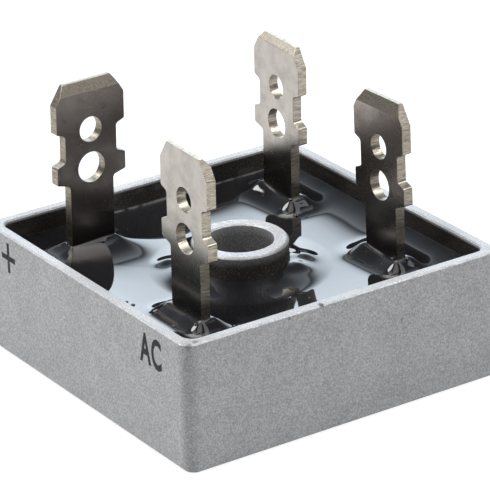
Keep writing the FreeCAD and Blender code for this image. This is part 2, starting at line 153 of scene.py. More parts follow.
def noise(tree, place, size, detail=2.0, rough=0.5, stretch=(1, 1, 1)):
    """Noise whose grains are about size across, in metres, drawn out along an axis by stretch."""
    mapping = add(tree, "ShaderNodeMapping", {"Vector": place, "Scale": [1 / s for s in stretch]})
    return add(tree, "ShaderNodeTexNoise", {"Vector": mapping.outputs["Vector"], "Scale": 1 / size,
                                            "Detail": detail, "Roughness": rough}).outputs["Fac"]


def ramp(tree, factor, *stops):
    """A colour ramp; each stop is a place from 0 to 1 and a colour."""
    node = add(tree, "ShaderNodeValToRGB", {"Fac": factor})
    elements = node.color_ramp.elements
    while len(elements) < len(stops):
        elements.new(0.5)
    for element, (place, colour) in zip(elements, stops):
        element.position = place
        element.color = (*colour, 1)
    return node.outputs["Color"]


def blend(tree, factor, first, second):
    """The first colour where factor is 0, and the second where it is 1."""
    return add(tree, "ShaderNodeMix", {"Factor": factor, "A": first, "B": second}, data_type="RGBA").outputs["Result"]


def raise_bumps(tree, shader, height, depth):
    """Bumps on the shader, depth metres high for a height of 1."""
    bump = add(tree, "ShaderNodeBump", {"Height": height, "Distance": depth, "Strength": 1.0})
    tree.links.new(bump.outputs["Normal"], shader.inputs["Normal"])


# %% [markdown]
# ## Cast case
#
# The cup is cast and then tumbled or blasted, so it is a grey of fine grains, some of which catch the light.
# Bumps alone would look like rubber and colour alone like paper, so the same grains drive colour, roughness
# and bump together. Wider noise gives the slightly uneven tone of a casting.

# %% Cast metal
GRAIN = 0.13 * MM

cast_metal, tree, shader, place = start_material("cast_metal")
grains = noise(tree, place, GRAIN, 3.0, 0.6)
patches = noise(tree, place, 3.0 * MM, 3.0)
tone = calculate(tree, "ADD", span(tree, grains, 0.25, 0.75, 0.0, 0.88), span(tree, patches, 0.3, 0.7, 0.0, 0.12))
outer = ramp(tree, tone, (0.0, (0.22, 0.224, 0.232)), (0.5, (0.365, 0.37, 0.38)), (1.0, (0.56, 0.562, 0.57)))
tree.links.new(span(tree, grains, 0.3, 0.7, 0.62, 0.42), shader.inputs["Roughness"])
shader.inputs["Metallic"].default_value = 0.35
raise_bumps(tree, shader, grains, 0.014 * MM)
print("material:", cast_metal.name)

# %% [markdown]
# Inside the cup the metal is nearly black with brown smears, where resin and flux wetted it. A thin pale band
# is painted along the resin's edge on the wall at the back left: a painted highlight, where the wetting film
# catches the light. The collar is half bare again near its top, and the bore is about two thirds as dark as
# the walls.

# %% The dark inside of the cup
CAVITY = 13.38 * MM
COLLAR_RADIUS = 3.775 * MM
DARK_UP_TO = 10.16 * MM
DARK_FROM = 0.9 * MM
SMEAR_COLOUR = (0.085, 0.072, 0.064, 1)
# Colour and height of the painted highlight along the resin's edge on the wall at the back left
PAINTED_STREAK_COLOUR = (0.36, 0.355, 0.37, 1)
STREAK_HEIGHT = 8.52 * MM
BORE_EDGE = 2.75 * MM
BORE_SHARE = 0.68
COLLAR_EDGE = 4.3 * MM
BARE_FROM, BARE_TO = 9.3 * MM, 10.2 * MM
BARE_SHARE = 0.55

sides = axes(tree, place)
high = sides["Z"]
from_middle = [calculate(tree, "ABSOLUTE", sides[axis]) for axis in "XY"]
off_axis = length(tree, vector(tree, "MULTIPLY", place, (1, 1, 0)))

within = span(tree, calculate(tree, "MAXIMUM", *from_middle), CAVITY + 0.02 * MM, CAVITY + 0.06 * MM, 1.0, 0.0)
below = span(tree, high, DARK_UP_TO - 0.1 * MM, DARK_UP_TO, 1.0, 0.0)
above = span(tree, high, DARK_FROM, DARK_FROM + 0.2 * MM, 0.0, 1.0)
in_bore = span(tree, off_axis, BORE_EDGE, BORE_EDGE + 0.1 * MM, BORE_SHARE, 1.0)
by_collar = span(tree, off_axis, COLLAR_EDGE, COLLAR_EDGE + 0.2 * MM, 1.0, 0.0)
bared = product(tree, by_collar, span(tree, high, BARE_FROM, BARE_TO, 0.0, BARE_SHARE))
dark = product(tree, within, below, above, calculate(tree, "SUBTRACT", in_bore, bared))

inner = ramp(tree, tone, (0.2, (0.012, 0.011, 0.010)), (0.6, (0.036, 0.032, 0.029)), (0.9, (0.13, 0.12, 0.11)))
smears = span(tree, noise(tree, place, 2.6 * MM, 3.0, 0.6, stretch=(1, 1, 0.5)), 0.54, 0.68, 0.0, 0.75)
inner = blend(tree, smears, inner, SMEAR_COLOUR)
# Painted highlight: a pale band on the wall at the back left, just above the resin's edge
off_streak = calculate(tree, "ABSOLUTE", calculate(tree, "SUBTRACT", high, STREAK_HEIGHT))
painted_streak = product(tree, span(tree, off_streak, 0.04 * MM, 0.16 * MM, 1.0, 0.0),
               span(tree, noise(tree, place, 1.5 * MM, 2.0, 0.6), 0.36, 0.50, 0.0, 1.0),
               span(tree, sides["X"], 0.08 * MM - CAVITY, 0.18 * MM - CAVITY, 1.0, 0.0))
inner = blend(tree, painted_streak, inner, PAINTED_STREAK_COLOUR)
print("dark from", DARK_FROM / MM, "to", DARK_UP_TO / MM, "mm")

# %% [markdown]
# Outside, a band beside each upright corner is painted a little darker: painted shade for a rounding that is
# wider than the model's. The rim and the plain side have a few dirty spots. Each spot has a place in
# millimetres, a radius, a strength and how far it is drawn out along each axis.

# %% Painted corner shade and stains
CORNER_SHADE = 0.27
STAINS = (((14.1, -2.3, 10.35), 0.28, 0.9, (1, 1, 1)),
          ((14.2, -14.1, 10.35), 0.55, 0.75, (1, 1, 1)),
          ((13.9, -13.2, 10.4), 0.30, 0.6, (1, 1, 1)),
          ((14.25, -5.2, 10.1), 0.16, 0.5, (1, 1, 1)),
          ((14.25, 4.9, 7.1), 0.07, 0.35, (1, 1.5, 5)),
          ((14.25, 5.5, 6.6), 0.06, 0.3, (1, 1, 4)))


def stain_at(tree, place, spot, radius, strength, stretch):
    """Strength within radius of a spot, drawn out by stretch and fading out with a ragged edge."""
    offset = vector(tree, "DIVIDE", vector(tree, "SUBTRACT", place, Vector(spot) * MM), stretch)
    ragged = calculate(tree, "MULTIPLY_ADD", noise(tree, place, 0.35 * MM, 3.0), 0.9 * radius, length(tree, offset))
    return span(tree, ragged, 0.9 * radius, 1.5 * radius, strength, 0.0)


near_corner = calculate(tree, "MINIMUM", *from_middle)
# Painted shade: darker towards each upright corner
dark = calculate(tree, "MAXIMUM", dark, span(tree, near_corner, 13.1 * MM, 14.0 * MM, 0.0, CORNER_SHADE))
for spot, radius, strength, stretch in STAINS:
    dark = calculate(tree, "MAXIMUM", dark, stain_at(tree, place, spot, radius * MM, strength, stretch))
tree.links.new(blend(tree, dark, outer, inner), shader.inputs["Base Color"])
print("stains:", len(STAINS))

# %% [markdown]
# ## Plated blades
#
# The terminals are stamped from brass and tin-plated. The plating is a satin mirror with a fine orange peel
# and the faint grain of the rolled sheet. A satin mirror has no tone of its own: the two blades that face
# the pale floor look light, and the two that face the black resin look dark. That dark is painted into the
# plus and the minus blade as painted shade, with a darker copy of the tin and darker edges, a little brown
# for some tarnish as well. All four stems are painted darker near the resin too: painted shade for the black
# resin that they mirror there. The sheared edges are rougher, a little yellow where brass shows through, and
# scored in the direction in which the punch went.

# %% Plated metal
# Painted shade: the stems' colour near the resin, for the black resin they mirror
BASE_SHADE = (0.06, 0.052, 0.05, 1)
BASE_SHADE_SHARE = 0.65
BASE_SHADE_FULL_TO, BASE_SHADE_UP_TO = 9 * MM, 13 * MM
EDGE_ROUGHNESS = 0.36
EDGE_TONES = (0.30, (0.18, 0.155, 0.12)), (0.50, (0.41, 0.365, 0.30)), (0.72, (0.72, 0.67, 0.57))
LIGHT_TIN = (0.33, 0.305, 0.28), (0.41, 0.385, 0.35), (0.46, 0.43, 0.395)
# Painted shade: a darker copy of the tin for the blades that mirror the black resin, a little brown for tarnish
SHADED_BROWN_TIN = (0.20, 0.17, 0.155), (0.27, 0.235, 0.215), (0.33, 0.295, 0.275)


def plating(name, through, faces, edge_share):
    """Tin on brass; through is the axis across the sheet, faces the tones of its broad sides."""
    material, tree, shader, place = start_material(name)
    peel = noise(tree, place, 0.15 * MM, 3.0, 0.6)
    rolled = noise(tree, place, 0.06 * MM, 2.0, 0.5, stretch=(1, 1, 9))
    scores = noise(tree, place, 0.05 * MM, 2.0, 0.6, stretch=(14, 1, 1) if through == "X" else (1, 14, 1))
    stains = noise(tree, place, 1.3 * MM, 4.0, 0.6)
    normal = axes(tree, add(tree, "ShaderNodeNewGeometry").outputs["Normal"])
    broad = span(tree, calculate(tree, "ABSOLUTE", normal[through]), 0.91, 0.96, 0.0, 1.0)
    shaded_low = span(tree, axes(tree, place)["Z"], BASE_SHADE_FULL_TO, BASE_SHADE_UP_TO, BASE_SHADE_SHARE, 0.0)
    # The face colour turns to the painted shade towards the resin
    face = blend(tree, shaded_low, ramp(tree, stains, *zip((0.30, 0.52, 0.75), faces)), BASE_SHADE)
    edge = ramp(tree, scores, *((stop, [edge_share * part for part in tone]) for stop, tone in EDGE_TONES))
    tree.links.new(blend(tree, broad, edge, face), shader.inputs["Base Color"])
    shader.inputs["Metallic"].default_value = 1.0
    satin = calculate(tree, "ADD", span(tree, peel, 0.3, 0.7, 0.0, 0.05), span(tree, stains, 0.3, 0.7, 0.25, 0.18))
    gloss = add(tree, "ShaderNodeMix", {"Factor": broad, "A": EDGE_ROUGHNESS, "B": satin})
    tree.links.new(gloss.outputs["Result"], shader.inputs["Roughness"])
    grain = calculate(tree, "MULTIPLY_ADD", rolled, 0.4, peel)
    relief = add(tree, "ShaderNodeMix", {"Factor": broad, "A": product(tree, scores, 2.5), "B": grain})
    raise_bumps(tree, shader, relief.outputs["Result"], 0.003 * MM)
    print("material:", name)
    return material


bright_plating = plating("bright_plating", "Y", LIGHT_TIN, 0.88)
# The plus and minus blades get the darker tin and darker edges: painted shade, with a little brown tarnish
PLATINGS = {"terminal_ac_front": bright_plating, "terminal_ac_back": bright_plating,
            "terminal_minus": plating("shaded_brown_plating_minus", "Y", SHADED_BROWN_TIN, 0.66),
            "terminal_plus": plating("shaded_brown_plating_plus", "X", SHADED_BROWN_TIN, 0.66)}

# %% [markdown]
# ## Resin
#
# Cured epoxy is black glass: nearly all that is seen of it is reflection. It has one roughness, a refraction
# index of 1.58, and only dust and pinpricks break the mirror.

# %% Resin
DUST_FROM, DUST_TO = 0.77, 0.81

black_resin, tree, shader, place = start_material("black_resin")
specks = noise(tree, place, 0.22 * MM, 1.0)
shader.inputs["Base Color"].default_value = (0.006, 0.006, 0.007, 1)
tree.links.new(span(tree, specks, DUST_FROM, DUST_TO, 0.035, 0.4), shader.inputs["Roughness"])
shader.inputs["IOR"].default_value = 1.58
raise_bumps(tree, shader, span(tree, specks, DUST_FROM, DUST_TO, 0.0, 1.0), 0.0025 * MM)
print("material:", black_resin.name)

# %% [markdown]
# ## Materials for what the resin hides
#
# The dies, the solder and the insulating sheet are never seen from outside, but the part can be taken apart
# on screen, so they get honest finishes too: dark silicon, dull solder and woven glass-fibre sheet.

# %% Hidden materials
silicon, tree, shader, place = start_material("silicon")
tree.links.new(ramp(tree, noise(tree, place, 0.5 * MM), (0.3, (0.05, 0.05, 0.06)), (0.7, (0.10, 0.10, 0.12))),
               shader.inputs["Base Color"])
shader.inputs["Roughness"].default_value = 0.22
shader.inputs["Metallic"].default_value = 0.5

dull_solder, tree, shader, place = start_material("dull_solder")
lumps = noise(tree, place, 0.3 * MM, 3.0)
tree.links.new(ramp(tree, lumps, (0.3, (0.40, 0.40, 0.40)), (0.7, (0.58, 0.58, 0.57))), shader.inputs["Base Color"])
shader.inputs["Roughness"].default_value = 0.45
shader.inputs["Metallic"].default_value = 1.0
raise_bumps(tree, shader, lumps, 0.01 * MM)

glass_sheet, tree, shader, place = start_material("glass_sheet")
waves = [add(tree, "ShaderNodeTexWave", {"Vector": place, "Scale": 0.15 / (0.5 * MM)}, bands_direction=axis)
         for axis in "XY"]
weave = product(tree, waves[0].outputs["Fac"], waves[1].outputs["Fac"])
tree.links.new(ramp(tree, weave, (0.0, (0.42, 0.37, 0.20)), (1.0, (0.66, 0.60, 0.38))), shader.inputs["Base Color"])
shader.inputs["Roughness"].default_value = 0.5
raise_bumps(tree, shader, weave, 0.02 * MM)

FINISHES = {"case": cast_metal, "insulating_layer": glass_sheet}
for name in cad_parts:
    if name.startswith("die_"):
        FINISHES[name] = silicon
    if name.startswith("solder_"):
        FINISHES[name] = dull_solder
for name, material in FINISHES.items():
    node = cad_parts[name]
    node.data.materials.clear()
    node.data.materials.append(material)
print("finished CAD nodes:", len(FINISHES))

# %% [markdown]
# ## Softened stampings
#
# A press shears sheet metal, and tumbling before plating rounds the edges by a few hundredths of a
# millimetre. Those tiny rounds catch the light and draw the bright outline of each blade and hole. The CAD
# solids have sharp edges, so each terminal is copied, its triangles are merged back into flat faces, and a
# Bevel modifier rounds every edge.

# %% Softened copies
EDGE_ROUND = 0.05 * MM
SHARP_FROM = radians(32)


def finished_piece(draft, name, smooth_angle=None):
    """Turn the modifiers' result into a plain mesh object and drop the draft."""
    shapes = bpy.context.evaluated_depsgraph_get()
    mesh = bpy.data.meshes.new_from_object(draft.evaluated_get(shapes), depsgraph=shapes)
    bpy.data.objects.remove(draft)
    mesh.name = name
    if smooth_angle:
        mesh.shade_smooth()
        mesh.set_sharp_from_angle(angle=radians(smooth_angle))
    piece = bpy.data.objects.new(name, mesh)
    bpy.context.collection.objects.link(piece)
    triangles = sum(len(face.vertices) - 2 for face in mesh.polygons)
    print(f"{name}: {triangles} triangles")
    return piece


def softened_copy(node_name, piece_name):
    """A copy of a CAD node with all its sharp edges rounded."""
    mesh = bpy.data.meshes.new(piece_name)
    shape = bmesh.new()
    shape.from_mesh(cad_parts[node_name].data)
    bmesh.ops.remove_doubles(shape, verts=shape.verts, dist=0.0005 * MM)
    bmesh.ops.dissolve_limit(shape, angle_limit=radians(0.4), verts=shape.verts, edges=shape.edges)
    shape.to_mesh(mesh)
    shape.free()
    mesh.shade_smooth()
    mesh.set_sharp_from_angle(angle=SHARP_FROM)
    draft = bpy.data.objects.new(piece_name + "_draft", mesh)
    bpy.context.collection.objects.link(draft)
    bevel = draft.modifiers.new("edges", "BEVEL")
    bevel.width = EDGE_ROUND
    bevel.segments = 2
    bevel.limit_method = "ANGLE"
    bevel.angle_limit = SHARP_FROM
    bevel.use_clamp_overlap = True
    bevel.harden_normals = True
    return finished_piece(draft, piece_name)


for name, material in PLATINGS.items():
    piece = softened_copy(name, name.replace("terminal", "stamping"))
    piece.data.materials.clear()
    piece.data.materials.append(material)
    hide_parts(name)
    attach(piece, "root")

# %% [markdown]
# ## Resin surface
#
# Liquid resin climbs what it wets and cures like that. At the walls and at the plus stem the climb dies
# away by a factor of e for each 1.6 mm, which is set by surface tension and weight. The photo shows a lower
# and wider climb at the wall at the back left, round beads at the other three stems and a hollow skirt at
# the collar. These are rules, so Geometry Nodes make the surface: a fine grid, the distance from each of
# its points to the walls, the collar and the four stems, and a Set Position node that adds up the climbs.

# %% Inputs of the resin surface
LEVEL = 7.85 * MM
RESIN_FLOOR = 2.0 * MM
GRID_STEPS = 304
STEMS = ("terminal_plus", "terminal_minus", "terminal_ac_front", "terminal_ac_back")
RESIN_INPUTS = {"Wall Climb": 1.0 * MM, "Left Wall Share": 0.65, "Left Wall Reach": 2.3 * MM,
                "Stem Climb": 0.9 * MM, "Bead Height": 0.85 * MM, "Bead Reach": 1.15 * MM,
                "Collar Climb": 0.6 * MM, "Collar Reach": 3.4 * MM, "Reach": 1.6 * MM,
                "Corner Fill": 3.0 * MM, "Lump Height": 0.22 * MM, "Lump Reach": 1.1 * MM,
                "Lump Size": 2.6 * MM, "Wave Height": 0.035 * MM, "Wave Length": 7.0 * MM}

resin_tree = bpy.data.node_groups.new("resin_surface", "GeometryNodeTree")
for name, number in RESIN_INPUTS.items():
    item = resin_tree.interface.new_socket(name, in_out="INPUT", socket_type="NodeSocketFloat")
    item.default_value = number
for name in STEMS:
    for part in ("Centre", "Half Size"):
        resin_tree.interface.new_socket(f"{name} {part}", in_out="INPUT", socket_type="NodeSocketVector")
resin_tree.interface.new_socket("Geometry", in_out="OUTPUT", socket_type="NodeSocketGeometry")
size = resin_tree.nodes.new("NodeGroupInput").outputs
print("inputs of the resin surface:", len(RESIN_INPUTS) + 2 * len(STEMS))

# %% [markdown]
# The distances come first. The two nearest walls are joined by a smooth maximum, so the resin fills the
# corners of the cup. The distance to a stem is that to the rectangle which the stem cuts out of the level.

# %% Distances
side = 2 * CAVITY + 0.1 * MM
grid = add(resin_tree, "GeometryNodeMeshGrid", {"Size X": side, "Size Y": side,
                                                "Vertices X": GRID_STEPS, "Vertices Y": GRID_STEPS})
spot = add(resin_tree, "GeometryNodeInputPosition").outputs["Position"]
sides = axes(resin_tree, spot)
reach_x, reach_y = [calculate(resin_tree, "ABSOLUTE", sides[axis]) for axis in "XY"]
nearest = calculate(resin_tree, "SMOOTH_MAX", reach_x, reach_y, size["Corner Fill"])
to_wall = calculate(resin_tree, "MAXIMUM", calculate(resin_tree, "SUBTRACT", CAVITY, nearest), 0.0)
flat_spot = vector(resin_tree, "MULTIPLY", spot, (1, 1, 0))
radius = length(resin_tree, flat_spot)
to_collar = calculate(resin_tree, "MAXIMUM", calculate(resin_tree, "SUBTRACT", radius, COLLAR_RADIUS), 0.0)
to_stem = {}
for name in STEMS:
    offset = vector(resin_tree, "ABSOLUTE", vector(resin_tree, "SUBTRACT", flat_spot, size[f"{name} Centre"]))
    beyond = vector(resin_tree, "SUBTRACT", offset, size[f"{name} Half Size"])
    to_stem[name] = length(resin_tree, vector(resin_tree, "MAXIMUM", beyond))
leftward = calculate(resin_tree, "SUBTRACT", product(resin_tree, sides["X"], -1.0), reach_y)
print("distances: wall, collar and", len(to_stem), "stems")

# %% [markdown]
# Then the heights are added up: a slow wave, the collar's skirt, the climbs with their lumps, the beads, and
# crumbs of resin at the collar's foot. The last are single swells and dips that the photo's reflections
# show, as x, y, height and width in millimetres: two swells behind the collar, one to its left, a dip in
# front of it and another along the wall at the back left.

# %% Climbs, beads and lumps
SKIRT_POWER = 1.6
WALL_LUMPS, STEM_LUMPS = 0.25, 0.8
CRUMB_SIZE, CRUMB_HEIGHT, CRUMB_REACH = 1.6 * MM, 0.35 * MM, 0.6 * MM
SWELLS = ((1.95, 4.76, 0.20, 0.8), (3.2, 3.3, 0.16, 0.7), (-3.84, -4.35, 0.18, 0.7), (5.2, -3.4, -0.2, 3.5),
          (-10.5, 0.5, -0.2, 4.0))


def fall_off(distance, reach):
    """1 at no distance, and less by a factor of e for each reach."""
    share = calculate(resin_tree, "DIVIDE", distance, reach)
    return calculate(resin_tree, "EXPONENT", product(resin_tree, share, -1.0))


def bell(share):
    """1 in the middle, and a factor of e less at a share of 1."""
    squared = calculate(resin_tree, "POWER", share, 2.0)
    return calculate(resin_tree, "EXPONENT", product(resin_tree, squared, -1.0))


def slow_noise(size, spread):
    """Noise about zero over the resin, as high as spread, whose waves are about size long."""
    scale = calculate(resin_tree, "DIVIDE", 1.0, size)
    waves = add(resin_tree, "ShaderNodeTexNoise", {"Vector": spot, "Scale": scale, "Detail": 0.0}).outputs["Fac"]
    return product(resin_tree, calculate(resin_tree, "SUBTRACT", waves, 0.5), spread)


left_over = calculate(resin_tree, "DIVIDE", to_collar, size["Collar Reach"])
left_over = calculate(resin_tree, "MAXIMUM", calculate(resin_tree, "SUBTRACT", 1.0, left_over), 0.0)
skirt = product(resin_tree, size["Collar Climb"], calculate(resin_tree, "POWER", left_over, SKIRT_POWER))
wall_climb = product(resin_tree, size["Wall Climb"],
                     span(resin_tree, leftward, -2 * MM, 3 * MM, 1.0, size["Left Wall Share"]))
wall_reach = span(resin_tree, leftward, -2 * MM, 3 * MM, size["Reach"], size["Left Wall Reach"])
lumps = slow_noise(size["Lump Size"], size["Lump Height"])
height = calculate(resin_tree, "ADD", slow_noise(size["Wave Length"], size["Wave Height"]), skirt)
for distance, climb, reach, lumpy in ((to_wall, wall_climb, wall_reach, WALL_LUMPS),
                                      (to_stem["terminal_plus"], size["Stem Climb"], size["Reach"], STEM_LUMPS)):
    climbed = product(resin_tree, climb, fall_off(distance, reach))
    lumped = product(resin_tree, lumps, lumpy, fall_off(distance, size["Lump Reach"]))
    height = calculate(resin_tree, "ADD", height, calculate(resin_tree, "ADD", climbed, lumped))
for name in STEMS[1:]:
    bead = bell(calculate(resin_tree, "DIVIDE", to_stem[name], size["Bead Reach"]))
    tall = calculate(resin_tree, "ADD", lumps, size["Bead Height"])
    height = calculate(resin_tree, "MULTIPLY_ADD", bead, tall, height)
crumbs = slow_noise(CRUMB_SIZE, CRUMB_HEIGHT)
height = calculate(resin_tree, "MULTIPLY_ADD", crumbs, fall_off(to_collar, CRUMB_REACH), height)
for x, y, tall, wide in SWELLS:
    away = length(resin_tree, vector(resin_tree, "SUBTRACT", flat_spot, (x * MM, y * MM, 0)))
    swell = bell(calculate(resin_tree, "DIVIDE", away, wide * MM))
    height = calculate(resin_tree, "MULTIPLY_ADD", swell, tall * MM, height)
raised = add(resin_tree, "ShaderNodeCombineXYZ", {"Z": calculate(resin_tree, "ADD", height, LEVEL)}).outputs[0]
surface = add(resin_tree, "GeometryNodeSetPosition", {"Geometry": grid.outputs["Mesh"], "Offset": raised})
print("nodes in the resin's tree so far:", len(resin_tree.nodes))

# %% [markdown]
# The grid's points inside the collar's wall are deleted. A terminal's rectangle is read off its CAD node,
# just above the level, and goes into the modifier with the tree's other inputs.

# %% Make the surface
INSIDE_COLLAR_WALL = 0.45 * MM
ABOVE_LEVEL = 0.3 * MM

hidden = calculate(resin_tree, "LESS_THAN", radius, COLLAR_RADIUS - INSIDE_COLLAR_WALL)
holed = add(resin_tree, "GeometryNodeDeleteGeometry", {"Geometry": surface.outputs["Geometry"], "Selection": hidden},
            domain="POINT")
plain = add(resin_tree, "GeometryNodeRealizeInstances", {"Geometry": holed.outputs["Geometry"]})
finish = add(resin_tree, "GeometryNodeSetMaterial", {"Geometry": plain.outputs["Geometry"], "Material": black_resin})
add(resin_tree, "NodeGroupOutput", {"Geometry": finish.outputs["Geometry"]})


def socket_of(tree, name):
    """The identifier of a group input, which a modifier needs."""
    return next(item.identifier for item in tree.interface.items_tree if item.name == name)


def stem_rectangle(name, height):
    """The centre and half size of a terminal's section at a height, from the CAD node's edges."""
    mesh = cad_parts[name].data
    cuts = []
    for edge in mesh.edges:
        low, high = sorted((mesh.vertices[end].co for end in edge.vertices), key=lambda spot: spot.z)
        if low.z < height < high.z:
            cuts.append(low.lerp(high, (height - low.z) / (high.z - low.z)))
    least = Vector([min(cut[axis] for cut in cuts) for axis in range(2)] + [0])
    most = Vector([max(cut[axis] for cut in cuts) for axis in range(2)] + [0])
    print(f"{name}: stem {(most.x - least.x) / MM:.2f} x {(most.y - least.y) / MM:.2f} mm")
    return (least + most) / 2, (most - least) / 2


draft = bpy.data.objects.new("resin_draft", bpy.data.meshes.new("resin_draft"))
bpy.context.collection.objects.link(draft)
modifier = draft.modifiers.new("resin", "NODES")
modifier.node_group = resin_tree
for name in STEMS:
    centre, half_size = stem_rectangle(name, LEVEL + ABOVE_LEVEL)
    modifier[socket_of(resin_tree, f"{name} Centre")] = centre
    modifier[socket_of(resin_tree, f"{name} Half Size")] = half_size
resin = finished_piece(draft, "resin_surface", 60)

# %% [markdown]
# The sheet has to become a closed body, so its edges are extruded down to the case's base. They end inside
# the metal, where nobody sees them.


# %% Close the resin body
def close_downwards(piece, floor):
    """Give an open sheet walls and a bottom at the height of floor."""
    shape = bmesh.new()
    shape.from_mesh(piece.data)
    rim = [edge for edge in shape.edges if edge.is_boundary]
    walls = bmesh.ops.extrude_edge_only(shape, edges=rim)["geom"]
    lowered = [item for item in walls if isinstance(item, bmesh.types.BMVert)]
    for corner in lowered:
        corner.co.z = floor
    foot = [item for item in walls if isinstance(item, bmesh.types.BMEdge)]
    bmesh.ops.triangle_fill(shape, edges=foot, use_beauty=False)
    bmesh.ops.recalc_face_normals(shape, faces=shape.faces)
    open_edges = sum(edge.is_boundary for edge in shape.edges)
    shape.to_mesh(piece.data)
    shape.free()
    print(f"{piece.name}: {open_edges} open edges")


close_downwards(resin, RESIN_FLOOR)
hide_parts("potting")
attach(resin, "root")

# %% [markdown]
# ## Droplets
#
# Bubbles that broke while the resin cured, and drops that splashed, left small glossy domes near the stems.
# Each is a spark of light in the photo. Their places are read off the photo, and Geometry Nodes drop a
# flattened ball of random size on each place.

# %% Droplets
SPOTS = ((-6.64, 9.29), (-6.00, 9.85), (-5.16, 8.80), (-4.59, 9.31), (-11.94, 9.90), (3.40, 0.81), (3.67, 0.41),
         (7.53, 8.99), (8.29, 9.74), (2.79, -8.53), (8.11, -9.41), (6.61, -10.38), (-9.79, -9.58),
         (-10.09, -10.12), (-9.67, -6.10), (1.19, -3.43), (0.65, -10.74), (1.39, -10.67))
DROP_FROM = 12 * MM

spot_mesh = bpy.data.meshes.new("droplet_spots")
spot_mesh.from_pydata([(x * MM, y * MM, DROP_FROM) for x, y in SPOTS], [], [])
draft = bpy.data.objects.new("droplet_draft", spot_mesh)
bpy.context.collection.objects.link(draft)

drop_tree = bpy.data.node_groups.new("droplets", "GeometryNodeTree")
for name, kind, number in (("Geometry", "Geometry", None), ("Resin", "Object", None), ("Radius", "Float", 0.17 * MM),
                           ("Flatness", "Float", 0.6), ("Seed", "Int", 4)):
    item = drop_tree.interface.new_socket(name, in_out="INPUT", socket_type="NodeSocket" + kind)
    if number:
        item.default_value = number
drop_tree.interface.new_socket("Geometry", in_out="OUTPUT", socket_type="NodeSocketGeometry")
size = drop_tree.nodes.new("NodeGroupInput").outputs
target = add(drop_tree, "GeometryNodeObjectInfo", {"Object": size["Resin"]})
fall = add(drop_tree, "GeometryNodeRaycast", {"Target Geometry": target.outputs["Geometry"],
                                              "Ray Direction": (0, 0, -1), "Ray Length": 0.05})
landed = add(drop_tree, "GeometryNodeSetPosition", {"Geometry": size["Geometry"],
                                                    "Position": fall.outputs["Hit Position"]})
ball = add(drop_tree, "GeometryNodeMeshIcoSphere", {"Radius": size["Radius"], "Subdivisions": 3})
rounded = add(drop_tree, "GeometryNodeSetShadeSmooth", {"Geometry": ball.outputs["Mesh"]})
chance = add(drop_tree, "FunctionNodeRandomValue", {2: 0.6, 3: 1.35, "Seed": size["Seed"]}).outputs[1]
squash = add(drop_tree, "ShaderNodeCombineXYZ", {"X": chance, "Y": chance,
                                                "Z": product(drop_tree, chance, size["Flatness"])})
copies = add(drop_tree, "GeometryNodeInstanceOnPoints", {"Points": landed.outputs["Geometry"],
                                                         "Instance": rounded.outputs["Geometry"],
                                                         "Scale": squash.outputs[0]})
plain = add(drop_tree, "GeometryNodeRealizeInstances", {"Geometry": copies.outputs["Instances"]})
finish = add(drop_tree, "GeometryNodeSetMaterial", {"Geometry": plain.outputs["Geometry"], "Material": black_resin})
add(drop_tree, "NodeGroupOutput", {"Geometry": finish.outputs["Geometry"]})

modifier = draft.modifiers.new("droplets", "NODES")
modifier.node_group = drop_tree
modifier[socket_of(drop_tree, "Resin")] = resin
droplets = finished_piece(draft, "droplets")
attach(droplets, "root")

# %% [markdown]
# ## Marks
#
# The marked side carries a printed plus sign and the letters of alternating current at the corners where
# those blades stand. They are ink, about a hundredth of a millimetre thick and a little patchy, so they are
# made as thin plates from text objects.

# %% Ink
dark_ink, tree, shader, place = start_material("dark_ink")
patchy = noise(tree, place, 0.25 * MM, 3.0)
tree.links.new(ramp(tree, patchy, (0.3, (0.018, 0.018, 0.02)), (0.75, (0.055, 0.055, 0.06))),
               shader.inputs["Base Color"])
shader.inputs["Roughness"].default_value = 0.8
shader.inputs["Specular IOR Level"].default_value = 0.25
raise_bumps(tree, shader, patchy, 0.01 * MM)

FACE = -14.25 * MM
INK_THICKNESS = 0.012 * MM
LETTER_SPACING = 1.12


def printed(name, text, boldness, width, height, centre_x, centre_z):
    """A word printed on the marked side, stretched to a width and height."""
    words = bpy.data.curves.new(name, "FONT")
    words.body = text
    words.extrude = 0.5
    words.offset = boldness
    words.space_character = LETTER_SPACING
    draft = bpy.data.objects.new(name + "_draft", words)
    bpy.context.collection.objects.link(draft)
    piece = finished_piece(draft, name, 35)
    corners = [vertex.co for vertex in piece.data.vertices]
    low = Vector([min(c[axis] for c in corners) for axis in range(3)])
    high = Vector([max(c[axis] for c in corners) for axis in range(3)])
    scale = Vector((width / (high.x - low.x), height / (high.y - low.y), INK_THICKNESS / (high.z - low.z)))
    for corner in corners:
        across, along, out = [(corner[axis] - (low[axis] + high[axis]) / 2) * scale[axis] for axis in range(3)]
        corner.xyz = (centre_x + across, FACE - out, centre_z + along)
    piece.data.materials.append(dark_ink)
    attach(piece, "root")


printed("mark_plus", "+", 0.0, 2.0 * MM, 2.5 * MM, -10.9 * MM, 8.5 * MM)
printed("mark_ac", "AC", 0.03, 2.95 * MM, 2.5 * MM, 9.45 * MM, 8.28 * MM)

# %% [markdown]
# ## Floor and light
#
# The photo is a studio shot on white. The floor takes the object's shadow as a plain diffuse surface, and
# adds white of its own only for rays from the camera or from a mirror, so the white isn't bought with more
# light.

# %% Floor
FLOOR_REACH = 3.0

floor_white, tree, shader, place = start_material("floor_white")
shader.inputs["Base Color"].default_value = (0.25, 0.25, 0.25, 1)
shader.inputs["Roughness"].default_value = 0.9
shader.inputs["Specular IOR Level"].default_value = 0.0
rays = add(tree, "ShaderNodeLightPath").outputs
mirrored = calculate(tree, "MAXIMUM", rays["Is Glossy Ray"], rays["Is Transmission Ray"])
seen = calculate(tree, "MAXIMUM", rays["Is Camera Ray"], mirrored)
shader.inputs["Emission Color"].default_value = (1, 1, 1, 1)
tree.links.new(product(tree, seen, 0.8), shader.inputs["Emission Strength"])

